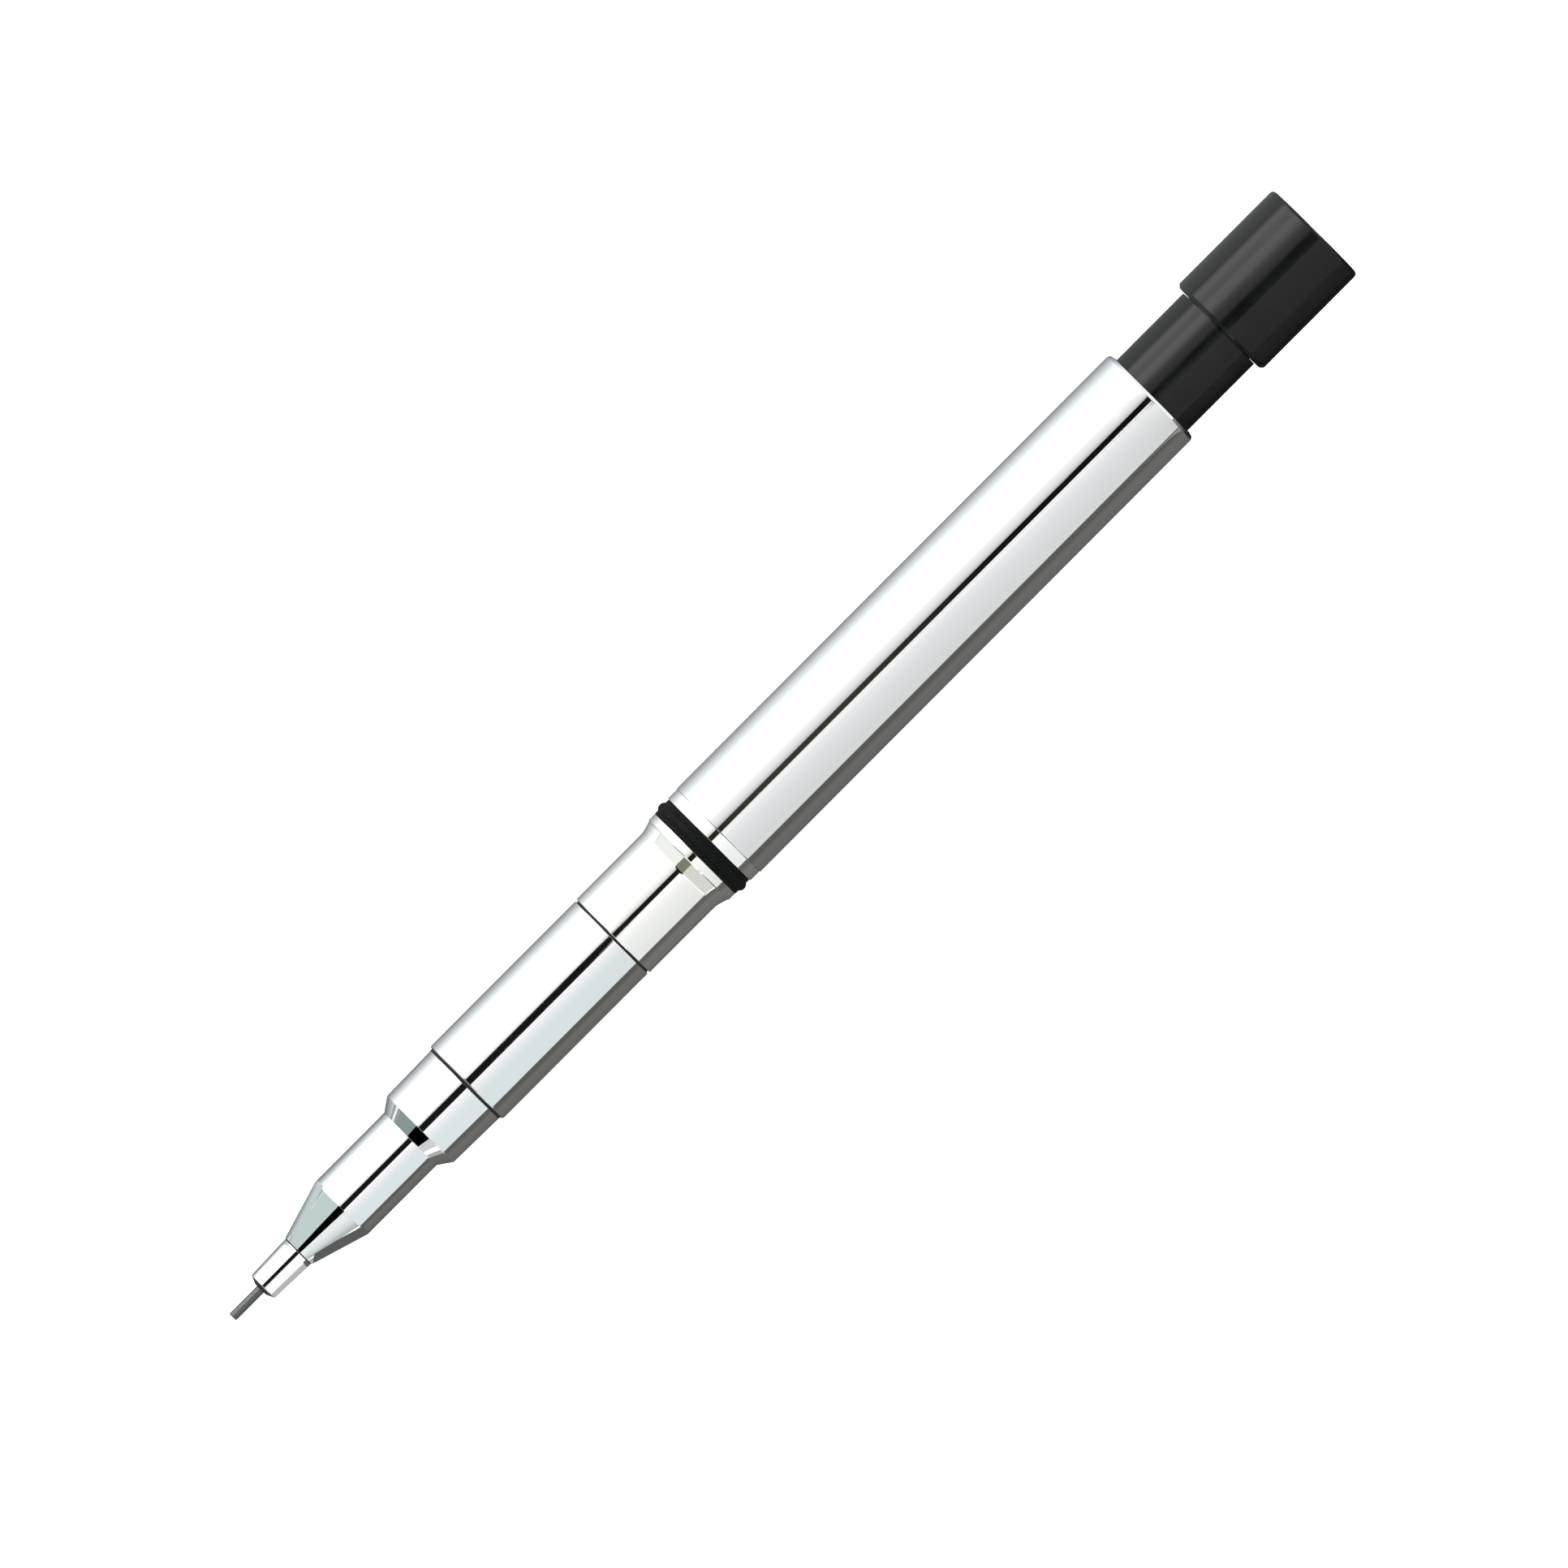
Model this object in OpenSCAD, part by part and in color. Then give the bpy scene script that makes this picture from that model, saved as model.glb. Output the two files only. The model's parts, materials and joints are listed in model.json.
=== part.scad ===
// Push-button mechanical pencil, lying along X with its lead tip at -X.
// Lengths are millimetres. Each piece is turned about the pencil's axis: stations along that
// axis count from the lead tip, and lay_down() puts the finished piece on the table.

/* [Lead] */
// Diameter of the lead
lead_d = 0.9; // [0.88:0.01:0.92]
// Length of lead standing out of the tip
lead_out = 3.6; // [1:0.1:5]
// Length of a whole lead
lead_length = 60; // [55:1:65]
// Spare leads in the tube
spare_count = 3; // [1:1:4]

/* [Tip and nose] */
// Diameter of the tip guide at its front edge
tip_front_d = 3.0; // [2.8:0.05:3.2]
// Diameter of the tip guide where it meets the cone
tip_rear_d = 3.3; // [3.2:0.05:3.4]
// Visible length of the tip guide
tip_length = 4.9; // [4:0.1:6]
// Diameter of the nose cylinder
nose_d = 6.8; // [6.6:0.05:7]
// Length of the cone
cone_length = 5.6; // [5.2:0.1:6]
// Length of the nose cylinder
nose_length = 8.9; // [8.5:0.1:9.5]
// Length of the chamfer up to the nose collar
step_length = 1.3; // [0.8:0.1:1.6]
// Diameter of the nose collar at its front
collar_front_d = 8.6; // [8.4:0.05:8.7]
// Diameter of the nose collar at its rear
collar_rear_d = 8.8; // [8.7:0.05:9]
// Length of the nose collar
collar_length = 5.7; // [5:0.1:6]

/* [Barrel] */
// Diameter of the front barrel
front_barrel_d = 9.36; // [9.1:0.02:9.4]
// Length of the front barrel
front_barrel_length = 18.8; // [18:0.2:22]
// Diameter of the connector
connector_d = 9.48; // [9.4:0.02:9.6]
// Length of the connector's straight part
connector_length = 8.5; // [7:0.1:10]
// Length of the flare behind it
flare_length = 1.3; // [1:0.1:1.6]
// Diameter of the band in front of the rubber ring
band_d = 10.34; // [10.2:0.02:10.5]
// Width of that band
band_length = 0.8; // [0.6:0.1:1.2]
// Outer diameter of the rubber ring
o_ring_d = 10.9; // [10.86:0.02:11]
// Width of the rubber ring
o_ring_width = 1.8; // [1.6:0.1:2.2]
// Diameter of the joint ring
joint_ring_d = 10.64; // [10.5:0.02:10.7]
// Width of the joint ring
joint_ring_length = 1.2; // [1:0.1:1.6]
// Diameter of the rear barrel
rear_barrel_d = 10.8; // [10.7:0.02:10.86]
// Length of the rear barrel
rear_barrel_length = 56.1; // [54:0.1:60]

/* [Push button] */
// Diameter of the plunger
plunger_d = 9.14; // [9:0.02:9.2]
// Length of plunger showing behind the barrel
plunger_out = 8.6; // [6:0.1:10]
// Outer diameter of the cap
cap_d = 10.9; // [10.86:0.02:11]
// Length of the cap
cap_length = 12.4; // [11.5:0.1:14]
// Diameter of the eraser
eraser_d = 5.8; // [5.4:0.1:5.8]

/* [Mechanism] */
// Full travel of the push button
knock_travel = 4; // [3:0.1:4.2]
// Feed of lead at one click, which is the clutch ring's travel
click_feed = 1; // [0.6:0.1:1.2]
// Number of jaws on the chuck
jaw_count = 3; // [3:1:4]
// Wire diameter of the return spring
spring_wire = 0.34; // [0.25:0.01:0.38]
// Open turns of the return spring
spring_turns = 5; // [4:1:7]

/* [Hidden] */

chrome_colour = "silver";
steel_colour = "lightgray";
brass_colour = "goldenrod";
black_colour = "#262624";
graphite_colour = "#4a4a48";

round_fn = 96;
seam = 0.2;
cap_gap = 0.1;
edge = 0.15;
cut = 1;

// Clearances, on the radius
lead_clearance = 0.05;
grip_clearance = 0.015;
jaw_clearance = 0.025;
wedge_clearance = 0.03;
run_clearance = 0.05;
push_clearance = 0.02;
free_clearance = 0.2;

// Stations of the outside, from the lead tip
tip_z = lead_out;
cone_z = tip_z + tip_length;
nose_z = cone_z + cone_length;
step_z = nose_z + nose_length;
collar_z = step_z + step_length;
nose_end_z = collar_z + collar_length;
front_barrel_z = nose_end_z + seam;
front_barrel_end_z = front_barrel_z + front_barrel_length;
connector_z = front_barrel_end_z + seam;
flare_z = connector_z + connector_length;
band_z = flare_z + flare_length;
o_ring_z = band_z + band_length;
joint_ring_z = o_ring_z + o_ring_width;
rear_barrel_z = joint_ring_z + joint_ring_length;
rear_barrel_end_z = rear_barrel_z + rear_barrel_length;
shoulder_z = rear_barrel_end_z + plunger_out;
cap_z = shoulder_z + cap_gap;
pencil_length = cap_z + cap_length;
axis_height = cap_d / 2;

// Tip guide and nose, inside
lead_r = lead_d / 2;
tip_chamfer = 0.35;
tip_mouth_r = 0.7;
tip_spigot_r = 1.2;
retainer_r = 1.7;
retainer_z = cone_z + 2.4;
retainer_length = 3;
head_room_r = 2;
head_room_z = retainer_z + retainer_length;
ring_room_r = 2.7;
thread_r = 3.25;
thread_length = 5;
seam_r = 4;
thread_pitch = 0.75;
thread_relief = 0.25;

// Chuck and clutch
chuck_z = nose_z + 5.4;
head_length = 4;
head_front_r = 1.8;
head_rear_r = 1.45;
neck_r = 1.15;
chuck_bore_r = 0.75;
slit_width = 0.28;
slit_length = 12.5;
clutch_ring_z = chuck_z + 1.6;
clutch_ring_length = 2.2;
clutch_ring_r = 2.35;
ring_stop_z = clutch_ring_z - click_feed;

// Sleeve, spring and lead tube
tube_r = 2;
tube_bore_r = 1.6;
sleeve_z = clutch_ring_z + clutch_ring_length + run_clearance;
sleeve_collar_length = 2;
sleeve_nose_r = 2.5;
sleeve_bore_r = tube_r + free_clearance;
sleeve_flange_z = front_barrel_z + thread_length + 0.8;
sleeve_flange_length = 3;
sleeve_end_z = sleeve_flange_z + 5;
barrel_bore_r = thread_r + run_clearance;
seat_z = sleeve_z + sleeve_collar_length;
seat_thickness = 0.4;
spring_gap = 0.02;
spring_r = 1.62;
spring_z = seat_z + seat_thickness + spring_gap + spring_wire / 2;
tube_z = seat_z + seat_thickness + 2 * knock_travel;
spring_length = tube_z - spring_z - spring_gap - spring_wire / 2;
spring_steps = 16;
spring_sides = 8;
tail_length = 4;
tube_length = 78;
tube_end_z = tube_z + tube_length;
spare_z = tube_z + tail_length + 0.6;
spare_circle_r = tube_bore_r - lead_r - 0.06;

// Connector, rubber ring and rear barrel
connector_spigot_length = 8;
connector_bore_r = tube_r + 0.4;
ring_seat_r = 4.5;
connector_tail_length = 7;
o_ring_shoulder_r = 5.2;
o_ring_crown_r = 0.62;
rear_bore_r = 4.9;
rim_lip_length = 0.6;
rim_chamfer = 0.4;

// Guide bush, plunger, eraser and cap
plunger_r = plunger_d / 2;
bush_length = 6;
bush_bore_r = plunger_r + run_clearance;
bush_z = rear_barrel_end_z - rim_lip_length - bush_length;
plunger_z = tube_end_z - 8;
neck_out_r = 3.9;
neck_out_length = 6;
plunger_end_z = shoulder_z + neck_out_length;
holder_r = 3.2;
holder_wall = (holder_r * 2 - eraser_d) / 2;
holder_room_r = holder_r + run_clearance;
holder_z = tube_end_z + 2.5;
holder_floor = 0.7;
holder_length = 13;
eraser_end_z = plunger_end_z + 3;
needle_r = 0.35;
needle_length = 18;
needle_point_length = 0.8;
cap_bore_r = neck_out_r + push_clearance;
cap_floor = 1.6;
cap_round = 0.4;

// Stands a piece's axis along X and lifts it to the pencil's own height above the table.
module lay_down() {
  translate([-pencil_length / 2, 0, axis_height])
    rotate([0, 90, 0])
      children();
}

// A turned solid, from [radius, station] points.
module turned(outline) {
  rotate_extrude($fn = round_fn)
    polygon(outline);
}

// A round rod between two stations, used for pins and for the holes cut from turned solids.
module rod(radius, from_z, to_z) {
  translate([0, 0, from_z])
    cylinder(r = radius, h = to_z - from_z, $fn = round_fn);
}

// Outline of a plain rod with a small chamfer at both ends.
function chamfered(radius, from_z, to_z, chamfer) = [
  [0, from_z],
  [radius - chamfer, from_z],
  [radius, from_z + chamfer],
  [radius, to_z - chamfer],
  [radius - chamfer, to_z],
  [0, to_z]
];

// A ring between two radii and two stations.
module ring(inner_r, outer_r, from_z, to_z) {
  difference() {
    rod(outer_r, from_z, to_z);
    rod(inner_r, from_z - cut, to_z + cut);
  }
}

// The writing lead, which runs from the point back through the chuck.
module lead() {
  color(graphite_colour)
    lay_down()
      turned(chamfered(lead_r, 0, lead_length, 0.08));
}

// The bored tip piece that guides the lead, pressed into the cone.
module tip_guide() {
  color(chrome_colour)
    lay_down()
      difference() {
        turned([
          [0, tip_z],
          [tip_mouth_r, tip_z],
          [tip_front_d / 2, tip_z + tip_chamfer],
          [tip_rear_d / 2, cone_z],
          [tip_spigot_r, cone_z],
          [tip_spigot_r, retainer_z],
          [0, retainer_z]
        ]);
        rod(lead_r + lead_clearance, tip_z - cut, retainer_z + cut);
      }
}

// The rubber bush that holds the lead while the chuck is open.
module lead_retainer() {
  color(black_colour)
    lay_down()
      ring(lead_r + grip_clearance, retainer_r, retainer_z, head_room_z);
}

// Cone, nose cylinder and collar in one turned piece, with the threaded spigot behind them.
module nose_cone() {
  color(chrome_colour)
    lay_down()
      difference() {
        turned([
          [0, cone_z],
          [tip_rear_d / 2 + 0.06, cone_z],
          [nose_d / 2, nose_z],
          [nose_d / 2, step_z],
          [collar_front_d / 2, collar_z],
          [collar_rear_d / 2, nose_end_z],
          [seam_r, nose_end_z],
          [seam_r, front_barrel_z],
          [thread_r - thread_relief, front_barrel_z],
          [thread_r - thread_relief, front_barrel_z + thread_pitch],
          [thread_r, front_barrel_z + thread_pitch + thread_relief],
          [thread_r, front_barrel_z + thread_length],
          [0, front_barrel_z + thread_length]
        ]);
        rod(tip_spigot_r, cone_z - cut, retainer_z + cut);
        rod(retainer_r, retainer_z, head_room_z + edge);
        rod(head_room_r, head_room_z, ring_stop_z + edge);
        rod(ring_room_r, ring_stop_z, front_barrel_z + thread_length + cut);
      }
}

// The brass collet: a tapered head split into jaws, a springy neck and a tail in the tube.
module chuck() {
  color(brass_colour)
    lay_down()
      difference() {
        turned([
          [0, chuck_z],
          [head_front_r - 0.3, chuck_z],
          [head_front_r, chuck_z + 0.3],
          [head_front_r, chuck_z + 0.8],
          [head_rear_r, chuck_z + head_length],
          [neck_r, chuck_z + head_length + 0.3],
          [neck_r, tube_z + 0.2],
          [tube_bore_r, tube_z + 0.4],
          [tube_bore_r, tube_z + tail_length],
          [0, tube_z + tail_length]
        ]);
        rod(lead_r + jaw_clearance, chuck_z - cut, chuck_z + head_length + cut);
        rod(chuck_bore_r, chuck_z + head_length, tube_z + tail_length + cut);
        for (jaw = [0 : jaw_count - 1])
          rotate([0, 0, jaw * 360 / jaw_count])
            translate([0, -slit_width / 2, chuck_z - cut])
              cube([head_front_r + cut, slit_width, slit_length + cut]);
      }
}

// Radius of the chuck's head at a station, which the clutch ring's bore follows.
function head_r(z) =
  head_front_r + (head_rear_r - head_front_r) * (z - chuck_z - 0.8) / (head_length - 0.8);

// The brass ring that wedges the jaws shut on the lead.
module clutch_ring() {
  ring_end_z = clutch_ring_z + clutch_ring_length;
  color(brass_colour)
    lay_down()
      turned([
        [head_r(clutch_ring_z) + wedge_clearance, clutch_ring_z],
        [clutch_ring_r - edge, clutch_ring_z],
        [clutch_ring_r, clutch_ring_z + edge],
        [clutch_ring_r, ring_end_z - edge],
        [clutch_ring_r - edge, ring_end_z],
        [head_r(ring_end_z) + wedge_clearance, ring_end_z]
      ]);
}

// The brass sleeve that holds the spring and stops the clutch ring, fixed in the front barrel.
module chuck_sleeve() {
  color(brass_colour)
    lay_down()
      difference() {
        turned([
          [0, sleeve_z],
          [sleeve_nose_r - edge, sleeve_z],
          [sleeve_nose_r, sleeve_z + edge],
          [sleeve_nose_r, sleeve_flange_z],
          [barrel_bore_r, sleeve_flange_z],
          [barrel_bore_r, sleeve_flange_z + sleeve_flange_length],
          [sleeve_nose_r + 0.2, sleeve_flange_z + sleeve_flange_length],
          [sleeve_nose_r + 0.2, sleeve_end_z],
          [0, sleeve_end_z]
        ]);
        rod(neck_r + free_clearance, sleeve_z - cut, seat_z + cut);
        rod(head_rear_r + free_clearance, sleeve_z - cut, sleeve_z + 0.6);
        rod(sleeve_bore_r, seat_z, sleeve_end_z + cut);
      }
}

// The thin washer under the front end of the spring.
module spring_seat() {
  color(steel_colour)
    lay_down()
      ring(neck_r + free_clearance, sleeve_bore_r - 0.05, seat_z, seat_z + seat_thickness);
}

// Height of the spring's wire centre after a share of its turns. Both end turns lie close.
function spring_rise(share, turns) =
  let (
    closed = spring_wire * 1.08,
    open = (spring_length - 2 * closed) / (turns - 2),
    turn = share * turns
  )
  turn < 1 ? turn * closed
  : turn > turns - 1 ? spring_length - (turns - turn) * closed
  : closed + (turn - 1) * open;

// The coil spring that brings the button back: a wire swept along a helix.
module return_spring() {
  turns = spring_turns + 2;
  last = turns * spring_steps;
  points = [
    for (step = [0 : last], side = [0 : spring_sides - 1])
      let (
        angle = 360 * step / spring_steps,
        around = 360 * side / spring_sides,
        reach = spring_r + spring_wire / 2 * cos(around)
      )
      [
        reach * cos(angle),
        reach * sin(angle),
        spring_z + spring_rise(step / last, turns) + spring_wire / 2 * sin(around)
      ]
  ];
  walls = [
    for (step = [0 : last - 1], side = [0 : spring_sides - 1])
      let (next = (side + 1) % spring_sides)
      [
        step * spring_sides + side,
        step * spring_sides + next,
        (step + 1) * spring_sides + next,
        (step + 1) * spring_sides + side
      ]
  ];
  first_end = [[for (side = [spring_sides - 1 : -1 : 0]) side]];
  last_end = [[for (side = [0 : spring_sides - 1]) last * spring_sides + side]];
  color(steel_colour)
    lay_down()
      polyhedron(points = points, faces = concat(walls, first_end, last_end));
}

// The tube that holds the spare leads and pushes the chuck.
module lead_tube() {
  color("gainsboro")
    lay_down()
      ring(tube_bore_r, tube_r, tube_z, tube_end_z);
}

// Spare leads lying round the axis, which the working lead's tail runs between.
module spare_leads() {
  color(graphite_colour)
    lay_down()
      for (spare = [0 : spare_count - 1])
        rotate([0, 0, spare * 360 / spare_count])
          translate([spare_circle_r, 0, 0])
            turned(chamfered(lead_r, spare_z, spare_z + lead_length, 0.08));
}

// The front tube of the barrel, threaded inside for the nose.
module front_barrel() {
  color(chrome_colour)
    lay_down()
      difference() {
        turned(chamfered(front_barrel_d / 2, front_barrel_z, front_barrel_end_z, edge));
        rod(barrel_bore_r, front_barrel_z - cut, front_barrel_end_z + cut);
      }
}

// The middle piece that joins both barrels and carries the rubber ring.
module connector() {
  color(chrome_colour)
    lay_down()
      difference() {
        turned([
          [0, connector_z - connector_spigot_length],
          [barrel_bore_r, connector_z - connector_spigot_length],
          [barrel_bore_r, front_barrel_end_z],
          [seam_r + 0.3, front_barrel_end_z],
          [seam_r + 0.3, connector_z],
          [connector_d / 2 - 0.05, connector_z],
          [connector_d / 2, connector_z + 0.05],
          [connector_d / 2, flare_z],
          [connector_d / 2 + 0.12, flare_z + flare_length * 0.4],
          [band_d / 2 - 0.1, band_z - 0.1],
          [band_d / 2, band_z],
          [band_d / 2, o_ring_z],
          [ring_seat_r, o_ring_z],
          [ring_seat_r, rear_barrel_z],
          [rear_bore_r, rear_barrel_z],
          [rear_bore_r, rear_barrel_z + connector_tail_length],
          [0, rear_barrel_z + connector_tail_length]
        ]);
        rod(connector_bore_r, connector_z - connector_spigot_length - cut,
            rear_barrel_z + connector_tail_length + cut);
      }
}

// The rubber ring: a band with a round crown along its middle.
module o_ring() {
  middle_z = o_ring_z + o_ring_width / 2;
  color(black_colour)
    lay_down()
      difference() {
        union() {
          rod(o_ring_shoulder_r, o_ring_z, joint_ring_z);
          translate([0, 0, middle_z])
            rotate_extrude($fn = round_fn)
              translate([o_ring_d / 2 - o_ring_crown_r, 0])
                circle(r = o_ring_crown_r, $fn = 32);
        }
        rod(ring_seat_r, o_ring_z - cut, joint_ring_z + cut);
      }
}

// The bright ring between the rubber ring and the rear barrel.
module joint_ring() {
  color(chrome_colour)
    lay_down()
      ring(ring_seat_r, joint_ring_d / 2, joint_ring_z, rear_barrel_z);
}

// The rear tube of the barrel, with a lip at its rear end that keeps the bush in.
module rear_barrel() {
  color(chrome_colour)
    lay_down()
      difference() {
        turned([
          [0, rear_barrel_z],
          [rear_barrel_d / 2 - 0.04, rear_barrel_z],
          [rear_barrel_d / 2, rear_barrel_z + 0.04],
          [rear_barrel_d / 2, rear_barrel_end_z - rim_chamfer],
          [bush_bore_r + edge, rear_barrel_end_z],
          [0, rear_barrel_end_z]
        ]);
        rod(rear_bore_r, rear_barrel_z - cut, rear_barrel_end_z - rim_lip_length);
        rod(bush_bore_r, rear_barrel_z, rear_barrel_end_z + cut);
      }
}

// The plastic bush that the plunger runs in.
module guide_bush() {
  color("dimgray")
    lay_down()
      ring(bush_bore_r, rear_bore_r, bush_z, bush_z + bush_length);
}

// The black plunger: it holds the tube in front and the eraser behind, under the cap.
module plunger() {
  color(black_colour)
    lay_down()
      difference() {
        turned([
          [0, plunger_z],
          [tube_r + 1.2, plunger_z],
          [plunger_r, plunger_z + 2],
          [plunger_r, shoulder_z],
          [neck_out_r, shoulder_z],
          [neck_out_r, plunger_end_z - edge],
          [neck_out_r - edge, plunger_end_z],
          [0, plunger_end_z]
        ]);
        rod(tube_r, plunger_z - cut, tube_end_z);
        rod(tube_bore_r, plunger_z, holder_z + cut);
        rod(holder_room_r, holder_z - 0.3, plunger_end_z + cut);
      }
}

// The eraser, standing out of the plunger under the cap.
module eraser() {
  color("white")
    lay_down()
      turned(chamfered(eraser_d / 2, holder_z + holder_floor, eraser_end_z, 0.25));
}

// The steel cup that holds the eraser and closes the lead tube.
module eraser_holder() {
  color(steel_colour)
    lay_down()
      difference() {
        turned(chamfered(holder_r, holder_z, holder_z + holder_length, 0.1));
        rod(holder_r - holder_wall, holder_z + holder_floor, holder_z + holder_length + cut);
        rod(needle_r, holder_z - cut, holder_z + holder_floor + cut);
      }
}

// The needle that clears broken lead out of the tip, fixed in the eraser holder's floor.
module cleaning_needle() {
  needle_z = holder_z + holder_floor - needle_length;
  color(steel_colour)
    lay_down()
      turned([
        [0, needle_z],
        [needle_r * 0.4, needle_z],
        [needle_r, needle_z + needle_point_length],
        [needle_r, holder_z + holder_floor],
        [0, holder_z + holder_floor]
      ]);
}

// The push cap: a cup that pulls off the plunger's neck to uncover the eraser.
module cap() {
  color(black_colour)
    lay_down()
      difference() {
        turned([
          [0, cap_z],
          [cap_d / 2 - 0.3, cap_z],
          [cap_d / 2, cap_z + 0.3],
          [cap_d / 2, pencil_length - cap_round],
          for (angle = [15 : 15 : 75])
            [
              cap_d / 2 - cap_round * (1 - cos(angle)),
              pencil_length - cap_round * (1 - sin(angle))
            ],
          [cap_d / 2 - cap_round, pencil_length],
          [0, pencil_length]
        ]);
        rod(cap_bore_r, cap_z - cut, pencil_length - cap_floor);
      }
}

lead();
tip_guide();
lead_retainer();
nose_cone();
chuck();
clutch_ring();
chuck_sleeve();
spring_seat();
return_spring();
lead_tube();
spare_leads();
front_barrel();
connector();
o_ring();
joint_ring();
rear_barrel();
guide_bush();
plunger();
eraser();
eraser_holder();
cleaning_needle();
cap();
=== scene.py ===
"""A push-button mechanical pencil lying on a pale table, seen from straight above.

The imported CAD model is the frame. Each turned piece is lathed again here from its CAD node's box,
with rounded edges and exact normals, and rides on the body that its node belongs to.
Lengths in the profiles are millimetres, and stations count along the pencil from its lead tip.
"""

import json
import math

import bpy
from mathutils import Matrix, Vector


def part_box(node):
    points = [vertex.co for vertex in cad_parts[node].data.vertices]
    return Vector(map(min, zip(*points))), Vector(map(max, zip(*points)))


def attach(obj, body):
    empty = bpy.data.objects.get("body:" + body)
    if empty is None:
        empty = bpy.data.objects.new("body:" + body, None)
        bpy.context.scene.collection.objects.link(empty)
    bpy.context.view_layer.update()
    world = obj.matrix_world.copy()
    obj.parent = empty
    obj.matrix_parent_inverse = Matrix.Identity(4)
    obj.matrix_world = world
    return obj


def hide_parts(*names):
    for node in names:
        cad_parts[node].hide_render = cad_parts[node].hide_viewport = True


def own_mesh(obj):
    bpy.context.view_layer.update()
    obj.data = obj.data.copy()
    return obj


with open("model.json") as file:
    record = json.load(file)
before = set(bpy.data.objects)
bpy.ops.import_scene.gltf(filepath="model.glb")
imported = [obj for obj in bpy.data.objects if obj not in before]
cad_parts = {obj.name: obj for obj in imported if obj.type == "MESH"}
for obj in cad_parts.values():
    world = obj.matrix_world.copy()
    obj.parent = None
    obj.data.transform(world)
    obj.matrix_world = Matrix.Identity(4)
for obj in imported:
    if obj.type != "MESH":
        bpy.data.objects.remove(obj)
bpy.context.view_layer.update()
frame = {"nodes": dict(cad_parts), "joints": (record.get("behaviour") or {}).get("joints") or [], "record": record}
BODIES = frame["record"]["behaviour"]["bodies"]

MM = 0.001
TIP_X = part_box("lead")[0].x
AXIS_Z = (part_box("cap")[0].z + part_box("cap")[1].z) / 2
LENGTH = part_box("cap")[1].x - TIP_X

# Sides of a turned piece, and steps of each rounded edge
SIDES = 160
SMALL_SIDES = 72
ARC_STEPS = 4

# The nose's thread, in millimetres
THREAD_PITCH = 0.75
THREAD_DEPTH = 0.3
THREAD_FADE = 0.5
THREAD_CREST = 3.3
SPIGOT_CREST = 3.25
ROW_STEP = THREAD_PITCH / 16
ROW_MARGIN = 0.3

# Sizes that several pieces share, in millimetres
SEAM = 0.2
TUBE_BORE = 1.6
BARREL_BORE = 4.9
RING_SEAT = 4.5
BUSH_BORE = 4.62
SEAM_FLOOR = 4.3
LEAD_CHAMFER = 0.08

# The room round the pencil: X and radii in metres, angles in degrees from straight up towards -Y
TENT_RADIUS = 0.6
TENT_STEP = 3
TENT_TIP_X = -0.2
TENT_REAR_X = 0.4
TENT_EDGE = 87.6
TENT_FOOT = 91

# The tent's stretches: front and rear X, and both edges of the dark slit at the top. The first
# lights what leans a little towards the tip. A seam or a step in the pencil hides the other joins.
STRETCHES = {
    "tip": (TENT_TIP_X, -0.085, -11, 13.5),
    "front": (-0.085, -0.024, -6.4, 9.8),
    "rear": (-0.024, 0.056, -4.2, 6.4),
    "button": (0.056, TENT_REAR_X, -6.4, 15),
}

# The cards ahead of the tent, which the flare and the cone reflect
FLARE_SLIT = 12
CONE_SLIT_FROM = -12.6
CONE_SLIT_TO = 15.5
CONE_FRONT_X = -0.52
CONE_SLIT_FRONT_X = -0.56
CONE_REAR_X = -0.434
CONE_LEAN = 0.121

# The cards on and near the floor
FLOOR_CARD_Z = 0.0001
FLOOR_CARD_FRONT_X = -0.0618
FLOOR_CARD_NEAR_Y = 0.0015
FLOOR_CARD_FAR_Y = 0.62
CONE_CARD_SPAN = (-0.0621, -0.0557)
LEAD_CARD_SPAN = (-0.0705, -0.0674)
STEP_CARD_X = -0.1
RIM_CARD_X = 1.5

# The camera
PHOTO_WIDTH = 0.14318
LENS = 1000
SENSOR = 36
PENCIL_ANGLE = 45.075
AIM_RIGHT = 0.00092
AIM_DOWN = 0.00087


# ---- stations and profiles

def span(node):
    """Front station, rear station and outer radius of a CAD node, in millimetres."""
    low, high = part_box(node)
    front = round((low.x - TIP_X) / MM, 2)
    rear = round((high.x - TIP_X) / MM, 2)
    radius = round((high.z - low.z) / 2 / MM, 2)
    return front, rear, radius


def joint_travel(joint_name):
    """How far a sliding joint goes from rest, in millimetres."""
    joint = next(j for j in frame["joints"] if j["name"] == joint_name)
    return joint["range_m"][1] / MM


def left_of(direction):
    """Normal on the left of a profile's direction of travel, which is its outer side."""
    return Vector((-direction.y, direction.x))


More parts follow.
